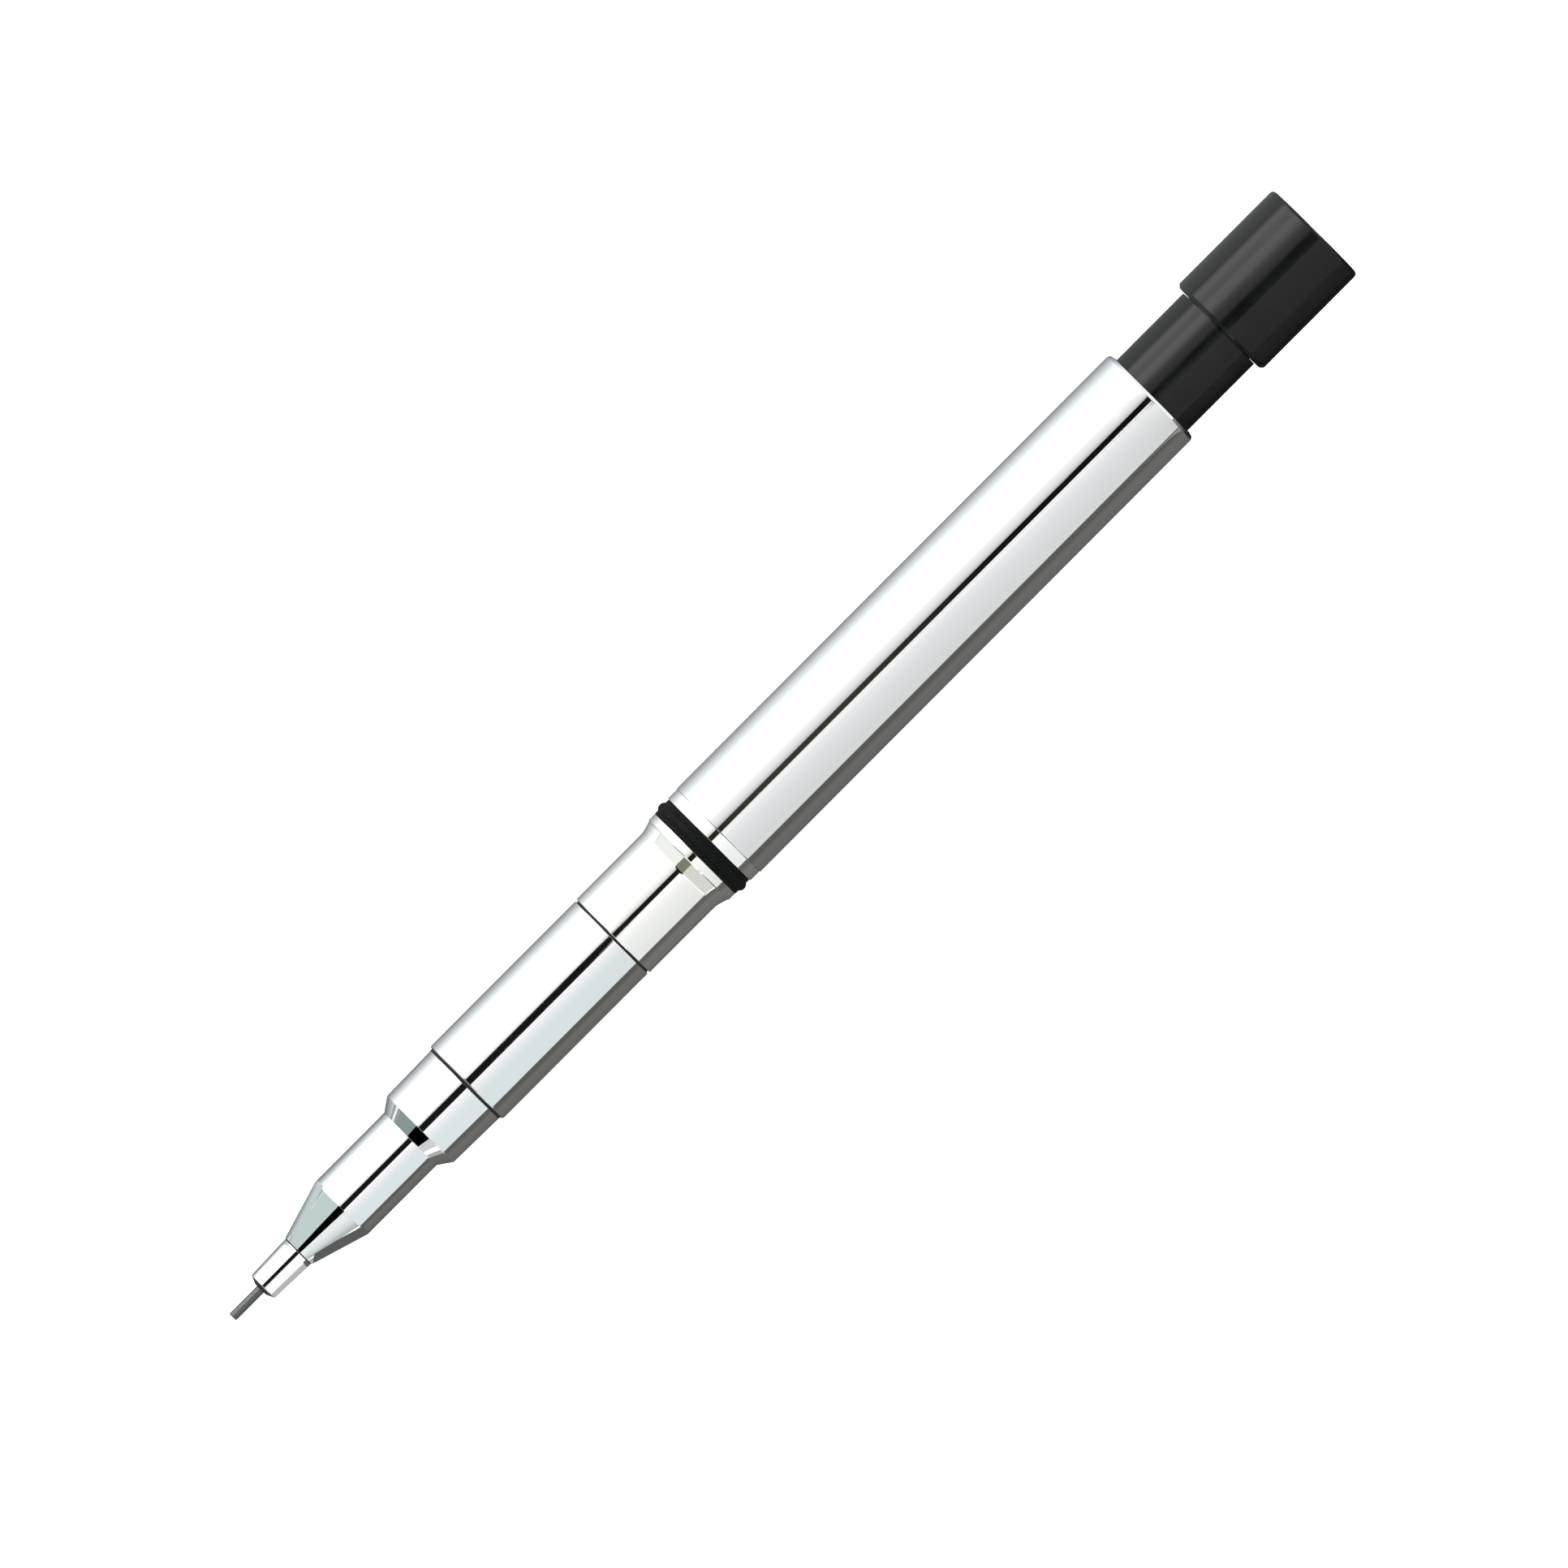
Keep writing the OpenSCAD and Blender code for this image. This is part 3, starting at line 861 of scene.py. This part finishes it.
def make_plunger():
    """The black plunger: tapered front, plain stem and the neck that the cap pushes onto."""
    front, rear, radius = span("plunger")
    shoulder = span("cap")[0] - 0.1
    tube_end = span("lead_tube")[1]
    room = span("eraser_holder")[0] - 0.3
    corners = [
        (front, 2.0, 0.05),
        (front, 3.2, 0.15),
        (front + 2, radius, 0.4),
        (shoulder, radius, 0.03),
        (shoulder, 3.9, 0.03),
        (rear - 0.15, 3.9, 0.08),
        (rear, 3.75, 0.05),
        (rear, 3.25, 0.05),
        (room, 3.25, 0.05),
        (room, TUBE_BORE, 0.04),
        (tube_end, TUBE_BORE, 0.02),
        (tube_end, 2.0, 0.02),
    ]
    return lathe("plunger_stem", corners)


def make_eraser():
    """The eraser, with its free end rounded by use."""
    front, rear, radius = span("eraser")
    corners = [
        (front, 0, 0),
        (front, radius - 0.25, 0.1),
        (front + 0.25, radius, 0.1),
        (rear - 0.05, radius, 0.7),
        (rear, 1.0, 3),
        (rear, 0, 0),
    ]
    return lathe("eraser_plug", corners, 96, closed=False)


def make_eraser_holder():
    """The steel cup that holds the eraser, with a rounded lip."""
    front, rear, radius = span("eraser_holder")
    needle = span("cleaning_needle")[2]
    inner = span("eraser")[2]
    corners = [
        (front, needle, 0.03),
        (front, radius, 0.25),
        (rear, radius, 0.14),
        (rear, inner, 0.12),
        (front + 0.7, inner, 0.05),
        (front + 0.7, needle, 0.02),
    ]
    return lathe("eraser_cup", corners, 96)


def make_cleaning_needle():
    """The needle under the eraser, ground to a point."""
    front, rear, radius = span("cleaning_needle")
    corners = [
        (front, 0, 0),
        (front, radius * 0.4, 0.05),
        (front + 0.8, radius, 0.2),
        (rear, radius, 0.02),
        (rear, 0, 0),
    ]
    return lathe("tip_needle", corners, 40, closed=False)


def make_cap():
    """The push cap: a cup with a chamfered mouth, a rounded end and a shallow moulding mark."""
    front, rear, radius = span("cap")
    corners = [
        (rear - 1.6, 0, 0),
        (rear - 1.6, 3.92, 0.2),
        (front, 3.92, 0.06),
        (front, radius - 0.3, 0.04),
        (front + 0.3, radius, 0.12),
        (rear, radius, 0.4),
        (rear, 1.0, 0.05),
        (rear - 0.12, 0.9, 0.05),
        (rear - 0.12, 0, 0),
    ]
    return lathe("push_cap", corners, closed=False)


# ---- the object

def build_pencil():
    """Every piece with its finish, each on its node's body."""
    tip_chrome = chrome("chrome_tip", (0.93, 0.93, 0.92))
    nose_chrome = chrome("chrome_nose", (0.83, 0.84, 0.84))
    front_chrome = chrome("chrome_front", (0.81, 0.82, 0.82))
    connector_chrome = chrome("chrome_connector", (0.93, 0.93, 0.9))
    ring_chrome = chrome("chrome_ring", (0.98, 0.98, 0.96))
    rear_chrome = chrome("chrome_rear", (0.79, 0.795, 0.8))
    # Nearly black painted shade for the seams and for shaded end faces
    painted_shade = painted_seam_shade("painted_seam_shade")
    plastic = black_plastic("black_moulding")
    rubber = black_rubber("dry_rubber")
    carbon = graphite("fired_graphite")
    brass = turned_brass("turned_brass")
    steel = drawn_steel("drawn_steel")
    white = moulded_plastic("natural_plastic", (0.86, 0.86, 0.84), 0.4)
    grey = moulded_plastic("grey_acetal", (0.25, 0.26, 0.27), 0.45)
    eraser = eraser_rubber("eraser_rubber")

    fit(make_lead(), "lead", carbon)
    tip = fit(make_tip_guide(), "tip_guide", tip_chrome)
    # Painted shade on the tip's front face and chamfer
    paint_shade_band(tip, span("tip_guide")[0] - 0.02, span("tip_guide")[0] + 0.3, painted_shade)
    nose = fit(make_nose_cone(), "nose_cone", nose_chrome)
    seam_rear = span("front_barrel")[0]
    # Painted shade at the bottom of the seam behind the nose, and on the cone's front face where the tip meets it
    paint_shade_band(nose, seam_rear - 0.22, seam_rear + 0.02, painted_shade, from_r=SEAM_FLOOR)
    paint_shade_band(nose, span("nose_cone")[0] - 0.02, span("nose_cone")[0] + 0.05, painted_shade)
    fit(make_lead_retainer(), "lead_retainer", rubber)
    fit(make_clutch_ring(), "clutch_ring", brass)
    fit(make_chuck_sleeve(), "chuck_sleeve", brass)
    fit(make_spring_seat(), "spring_seat", steel)
    fit(make_lead_tube(), "lead_tube", white)
    fit(make_spare_leads(), "spare_leads", carbon)
    front_tube = fit(make_front_barrel(), "front_barrel", front_chrome)
    # Painted shade in the seam at the front tube's mouth
    paint_shade_band(front_tube, seam_rear - 0.02, seam_rear + 0.1, painted_shade, from_r=SEAM_FLOOR)
    connector = fit(make_connector(), "connector", connector_chrome)
    sleeve_front = span("front_barrel")[1] + SEAM
    # Painted shade in the seam at the front of the connector's sleeve
    paint_shade_band(connector, sleeve_front - 0.21, sleeve_front + 0.01, painted_shade, from_r=SEAM_FLOOR)
    fit(make_o_ring(), "o_ring", rubber)
    fit(make_joint_ring(), "joint_ring", ring_chrome)
    fit(make_rear_barrel(), "rear_barrel", rear_chrome)
    fit(make_guide_bush(), "guide_bush", grey)
    fit(make_plunger(), "plunger", plastic)
    fit(make_eraser(), "eraser", eraser)
    fit(make_eraser_holder(), "eraser_holder", steel)
    fit(make_cleaning_needle(), "cleaning_needle", steel)
    fit(make_cap(), "cap", plastic)

    spring = fit(make_return_spring(), "return_spring", steel)
    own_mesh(spring)

    chuck = frame["nodes"]["chuck"]
    chuck.data.materials.clear()
    chuck.data.materials.append(brass)


# ---- stage

def glowing(name, colour, strength):
    """A plain glowing material."""
    material = bpy.data.materials.new(name)
    material.use_nodes = True
    nodes = material.node_tree.nodes
    nodes.clear()
    output = nodes.new("ShaderNodeOutputMaterial")
    glow = nodes.new("ShaderNodeEmission")
    glow.inputs["Color"].default_value = (*colour, 1)
    glow.inputs["Strength"].default_value = strength
    material.node_tree.links.new(glow.outputs["Emission"], output.inputs["Surface"])
    return material


def fading(name, axis, stops):
    """A glowing material that changes along one of the panel's own axes.

    stops are (place, colour) along the axis, and a colour's parts may be brighter than 1.
    """
    peak = max(max(colour) for _, colour in stops)
    material = glowing(name, (1, 1, 1), peak)
    nodes = material.node_tree.nodes
    links = material.node_tree.links
    place = nodes.new("ShaderNodeTexCoord").outputs["Object"]
    parts = nodes.new("ShaderNodeSeparateXYZ")
    scale = nodes.new("ShaderNodeMapRange")
    first = stops[0][0]
    last = stops[-1][0]
    scale.inputs["From Min"].default_value = first
    scale.inputs["From Max"].default_value = last
    ramp = nodes.new("ShaderNodeValToRGB")
    elements = ramp.color_ramp.elements
    elements[0].color = (*shade(stops[0][1], 1 / peak), 1)
    elements[1].color = (*shade(stops[-1][1], 1 / peak), 1)
    for stop_place, colour in stops[1:-1]:
        element = elements.new((stop_place - first) / (last - first))
        element.color = (*shade(colour, 1 / peak), 1)
    links.new(place, parts.inputs[0])
    links.new(parts.outputs[axis], scale.inputs["Value"])
    links.new(scale.outputs["Result"], ramp.inputs["Fac"])
    links.new(ramp.outputs["Color"], nodes["Emission"].inputs["Color"])
    return material


def for_gloss_only(panel, material):
    """A studio card that only reflections see."""
    panel.data.materials.append(material)
    panel.visible_camera = False
    panel.visible_diffuse = False
    panel.visible_transmission = False
    panel.visible_volume_scatter = False
    panel.visible_shadow = False
    return panel


def hood(name, from_deg, to_deg, front_x, rear_x, material, front_lean=0, rear_lean=0):
    """A curved card round the pencil's axis. Angles count from straight up towards -Y.

    An edge that leans moves along X by its lean from straight up to the table's level.
    """
    steps = max(2, int(abs(to_deg - from_deg) / TENT_STEP))
    vertices = []
    for step in range(steps + 1):
        angle = math.radians(from_deg + (to_deg - from_deg) * step / steps)
        y = -TENT_RADIUS * math.sin(angle)
        z = AXIS_Z + TENT_RADIUS * math.cos(angle)
        down = 1 - math.cos(angle)
        vertices.append((front_x + front_lean * down, y, z))
        vertices.append((rear_x + rear_lean * down, y, z))
    faces = []
    for step in range(steps):
        first = 2 * step
        faces.append([first, first + 1, first + 3, first + 2])
    return for_gloss_only(mesh_object(name, vertices, faces), material)


def card(name, corners, material):
    """A flat card with four corners."""
    return for_gloss_only(mesh_object(name, corners, [[0, 1, 2, 3]]), material)


def floor_card(name, front_x, rear_x, near_y, far_y, material, height=FLOOR_CARD_Z):
    """A level card just above the floor."""
    corners = [
        (front_x, near_y, height),
        (rear_x, near_y, height),
        (rear_x, far_y, height),
        (front_x, far_y, height),
    ]
    return card(name, corners, material)


def side_card(name, front_x, rear_x, y, top, material):
    """An upright card beside the pencil, parallel to it."""
    corners = [(front_x, y, 0), (rear_x, y, 0), (rear_x, y, top), (front_x, y, top)]
    return card(name, corners, material)


def end_card(name, x, from_y, to_y, bottom, top, material):
    """An upright card across the pencil's axis, beyond one of its ends."""
    corners = [(x, from_y, bottom), (x, to_y, bottom), (x, to_y, top), (x, from_y, top)]
    return card(name, corners, material)


def key_glows():
    """The bright +Y side's materials, strongest half-way down."""
    warm = (1.0, 1.0, 0.985)
    upper = [(0.235, 1.65), (0.28, 2.3), (0.327, 3.3), (0.37, 4.4), (0.44, 4.9)]
    lower = [(0.475, 4.5), (0.505, 3.6), (0.54, 3.6), (0.577, 4.0), (0.592, 4.5), (0.6, 2.4)]
    steep = [(0.06, 0.75), (0.1, 1.05), (0.145, 1.35)] + upper + lower
    dim = [(0.055, 0.6), (0.09, 0.85), (0.145, 1.0), (0.185, 1.06), (0.235, 1.16), (0.28, 1.35)]
    slow = dim + upper[2:] + lower
    front = fading("glow_key_front", 1, [(y, shade(warm, power)) for y, power in steep])
    rear = fading("glow_key_rear", 1, [(y, shade(warm, power)) for y, power in slow])
    return {"tip": front, "front": front, "rear": rear, "button": front}


def fill_glows():
    """The softer -Y side's materials, which dim towards the table."""
    front = [
        (-0.11, (1.2, 1.2, 1.2)),
        (-0.185, (1.1, 1.1, 1.13)),
        (-0.28, (0.985, 1.005, 1.04)),
        (-0.4, (0.87, 0.935, 0.955)),
        (-0.6, (0.855, 0.93, 0.94)),
    ]
    rear = [
        (-0.07, (1.1, 1.1, 1.1)),
        (-0.145, (1.15, 1.15, 1.15)),
        (-0.185, (1.04, 1.045, 1.05)),
        (-0.28, (0.97, 0.98, 0.985)),
        (-0.4, (0.9, 0.92, 0.92)),
        (-0.6, (0.85, 0.86, 0.86)),
    ]
    button = [
        (-0.155, (0.9, 0.9, 0.9)),
        (-0.185, (1.02, 1.02, 1.0)),
        (-0.28, (1.0, 1.0, 0.97)),
        (-0.4, (0.9, 0.9, 0.87)),
        (-0.5, (0.82, 0.82, 0.79)),
        (-0.6, (0.64, 0.64, 0.61)),
    ]
    return {
        "tip": glowing("glow_tip", (1, 1, 1), 1.05),
        "front": fading("glow_front", 1, front),
        "rear": fading("glow_rear", 1, rear),
        "button": fading("glow_button", 1, button),
    }


def slit_glows():
    """The dark slit's materials: nearly black, with an olive haze behind the rubber ring."""
    rear = [
        (-0.024, (0.01, 0.01, 0.01)),
        (-0.009, (0.012, 0.012, 0.01)),
        (-0.006, (0.05, 0.05, 0.036)),
        (0.012, (0.045, 0.045, 0.033)),
        (0.03, (0.01, 0.01, 0.01)),
        (0.056, (0.004, 0.004, 0.004)),
    ]
    front = glowing("gap_front", (1, 1, 1), 0.01)
    return {
        "tip": front,
        "front": front,
        "rear": fading("gap_rear", 0, rear),
        "button": glowing("gap_dim", (1, 1, 0.95), 0.03),
    }


def build_tent():
    """The light tent over the pencil, with the dark slit that the camera looks through."""
    key = key_glows()
    fill = fill_glows()
    slit = slit_glows()
    for part, (front_x, rear_x, slit_from, slit_to) in STRETCHES.items():
        hood("tent_key_" + part, slit_from, -TENT_FOOT, front_x, rear_x, key[part])
        hood("slit_" + part, slit_from, slit_to, front_x, rear_x, slit[part])
        hood("tent_fill_" + part, slit_to, TENT_EDGE, front_x, rear_x, fill[part])
    foot = glowing("glow_foot", (1, 1, 0.95), 0.11)
    hood("tent_foot", TENT_EDGE, TENT_FOOT, TENT_TIP_X, TENT_REAR_X, foot)


def build_flare_and_cone_hoods():
    """The hoods ahead of the tent. They join on a lean, which follows the cone's reflections."""
    flare_top = glowing("flare_top", (0.97, 1.0, 0.98), 0.97)
    flare_low = glowing("flare_low", (1.0, 1.0, 0.96), 0.72)
    flare_slit = glowing("gap_olive", (1, 1, 0.78), 0.22)
    flare_span = (CONE_REAR_X, TENT_TIP_X)
    hood("slit_flare", -FLARE_SLIT, FLARE_SLIT, *flare_span, flare_slit, front_lean=CONE_LEAN)
    hood("tent_flare_top", -FLARE_SLIT, -TENT_FOOT, *flare_span, flare_top, front_lean=CONE_LEAN)
    hood("tent_flare_low", FLARE_SLIT, TENT_FOOT, *flare_span, flare_low, front_lean=CONE_LEAN)
    cone_low = fading("cone_low", 1, [
        (-0.15, (1.0, 1.02, 1.02)),
        (-0.37, (0.98, 1.02, 1.02)),
        (-0.54, (0.78, 0.83, 0.83)),
        (-0.6, (0.5, 0.55, 0.56)),
    ])
    cone_slit = glowing("gap_black", (0, 0, 0), 0)
    slit_span = (CONE_SLIT_FRONT_X, CONE_REAR_X)
    low_span = (CONE_FRONT_X, CONE_REAR_X)
    hood("slit_cone", CONE_SLIT_FROM, CONE_SLIT_TO, *slit_span, cone_slit, rear_lean=CONE_LEAN)
    hood("tent_cone_low", CONE_SLIT_TO, TENT_FOOT, *low_span, cone_low, rear_lean=CONE_LEAN)


def build_near_cards():
    """Upright cards beside the cone and the lead, and beyond both ends of the pencil."""
    cone_near = fading("cone_near", 2, [
        (0.001, (0.2, 0.22, 0.22)),
        (0.0023, (0.28, 0.32, 0.32)),
        (0.0047, (0.42, 0.48, 0.49)),
        (0.006, (0.64, 0.74, 0.74)),
    ])
    cone_far = glowing("cone_far", (1.0, 1.05, 1.0), 0.12)
    lead_far = fading("lead_far", 2, [(0.004, (0.06, 0.06, 0.06)), (0.0095, (0.3, 0.3, 0.3))])
    side_card("cone_card_near", *CONE_CARD_SPAN, 0.0042, 0.0075, cone_near)
    side_card("cone_card_far", *CONE_CARD_SPAN, -0.0042, 0.0075, cone_far)
    side_card("lead_card_far", *LEAD_CARD_SPAN, -0.0035, 0.0095, lead_far)
    # What the chamfer in front of the collar reflects, from -Y to +Y
    step_white = glowing("step_white", (0.97, 1, 1), 0.75)
    step_black = glowing("step_black", (0, 0, 0), 0)
    step_teal = glowing("step_teal", (0.3, 0.36, 0.36), 1)
    end_card("step_bright", STEP_CARD_X, -0.04, -0.0232, 0.002, 0.038, step_white)
    end_card("step_dark", STEP_CARD_X, -0.0232, 0.0088, 0.012, 0.038, step_black)
    end_card("step_upper", STEP_CARD_X, 0.0088, 0.06, 0.002, 0.038, step_teal)
    end_card("rim_glow", RIM_CARD_X, -1.5, 1.5, 0, 1.3, glowing("rim_white", (1, 1, 1), 1.15))


def build_floor_cards():
    """What the pencil's flanks see of the table: dark on one side, bluish on the other."""
    olive = fading("card_olive", 1, [
        (-0.006, (0.13, 0.13, 0.122)),
        (-0.012, (0.165, 0.165, 0.157)),
        (-0.022, (0.18, 0.18, 0.172)),
        (-0.038, (0.15, 0.15, 0.14)),
        (-0.07, (0.115, 0.115, 0.107)),
        (-0.3, (0.15, 0.15, 0.14)),
    ])
    pale = glowing("card_pale", (1, 1, 1), 0.5)
    dim = fading("card_dim", 1, [
        (-0.012, (0.02, 0.02, 0.02)),
        (-0.016, (0.09, 0.09, 0.09)),
        (-0.022, (0.17, 0.17, 0.16)),
        (-0.055, (0.3, 0.3, 0.28)),
        (-0.2, (0.4, 0.4, 0.37)),
    ])
    far_side = (-FLOOR_CARD_NEAR_Y, -FLOOR_CARD_FAR_Y)
    button_x = span("rear_barrel")[1] * MM + TIP_X
    floor_card("card_far", FLOOR_CARD_FRONT_X, button_x, *far_side, olive)
    floor_card("card_tip", STRETCHES["tip"][1], FLOOR_CARD_FRONT_X, *far_side, pale)
    floor_card("card_button", button_x, TENT_REAR_X, *far_side, dim)
    # The near card darkens towards the pencil: a painted shadow of the pencil on the table, which the flanks
    # reflect
    blue = (0.94, 0.98, 1.0)
    near = [(0.0055, 0.2), (0.0088, 0.42), (0.012, 0.62)]
    near += [(0.016, 0.84), (0.022, 1.05), (0.034, 1.3)]
    near_glow = fading("table_glow_painted_shadow", 1, [(y, shade(blue, power)) for y, power in near])
    floor_card("card_near", -0.3, TENT_REAR_X, FLOOR_CARD_NEAR_Y, FLOOR_CARD_FAR_Y, near_glow)
    # Two grey patches that the chamfer in front of the collar reflects
    grey = glowing("step_grey", (0.36, 0.4, 0.4), 1)
    above = 2 * FLOOR_CARD_Z
    floor_card("step_patch", -0.0617, -0.0566, 0.0135, 0.022, grey, above)
    floor_card("step_patch_wide", -0.3, -0.073, 0.022, 0.3, grey, above)


def build_floor():
    """The pale table, which glows a little so that it stays evenly white."""
    reach = 4.0
    vertices = [(-reach, -reach, 0), (reach, -reach, 0), (reach, reach, 0), (-reach, reach, 0)]
    floor = mesh_object("floor", vertices, [[0, 1, 2, 3]])
    finish = Finish("pale_table", (0.9, 0.9, 0.9), roughness=0.9, specular=0.0)
    finish.set("Emission Color", (1, 1, 1, 1))
    finish.set("Emission Strength", 0.75)
    grain = finish.cloud(300)
    finish.colours(grain, [(0.3, (0.88, 0.88, 0.88)), (0.7, (0.9, 0.9, 0.9))])
    floor.data.materials.append(finish.material)


def area_light(name, place, power, size):
    """A soft square lamp aimed at the pencil, kept out of reflections."""
    lamp = bpy.data.lights.new(name, "AREA")
    lamp.energy = power
    lamp.size = size
    lamp_object = bpy.data.objects.new(name, lamp)
    lamp_object.location = place
    aim = Vector((0, 0, AXIS_Z)) - Vector(place)
    lamp_object.rotation_euler = aim.to_track_quat("-Z", "Y").to_euler()
    lamp_object.visible_glossy = False
    bpy.context.scene.collection.objects.link(lamp_object)


def build_lights():
    """Soft light for the matt surfaces, and the room's grey-green air."""
    area_light("soft_key", (-0.15, 0.55, 0.6), 5.0, 0.7)
    area_light("soft_fill", (0.2, -0.6, 0.5), 1.5, 0.7)
    world = bpy.data.worlds.new("room")
    world.use_nodes = True
    background = world.node_tree.nodes["Background"]
    background.inputs["Color"].default_value = (0.64, 0.74, 0.74, 1)
    background.inputs["Strength"].default_value = 1.0
    bpy.context.scene.world = world


def build_camera():
    """The camera, straight above and turned so that the cap points up and to the right."""
    camera = bpy.data.cameras.new("camera")
    camera.lens = LENS
    camera.sensor_width = SENSOR
    camera.clip_start = 0.01
    camera.clip_end = 20
    camera_object = bpy.data.objects.new("camera", camera)
    turn = -math.radians(PENCIL_ANGLE)
    right = Vector((math.cos(turn), math.sin(turn), 0))
    up = Vector((-math.sin(turn), math.cos(turn), 0))
    middle = Vector((TIP_X + LENGTH / 2, 0, AXIS_Z))
    distance = LENS * PHOTO_WIDTH / SENSOR
    place = middle + right * AIM_RIGHT - up * AIM_DOWN + Vector((0, 0, distance))
    camera_object.location = place
    camera_object.rotation_euler = (0, 0, turn)
    scene = bpy.context.scene
    scene.collection.objects.link(camera_object)
    scene.camera = camera_object
    scene.view_settings.view_transform = "Standard"


build_pencil()
build_tent()
build_flare_and_cone_hoods()
build_near_cards()
build_floor_cards()
build_floor()
build_lights()
build_camera()
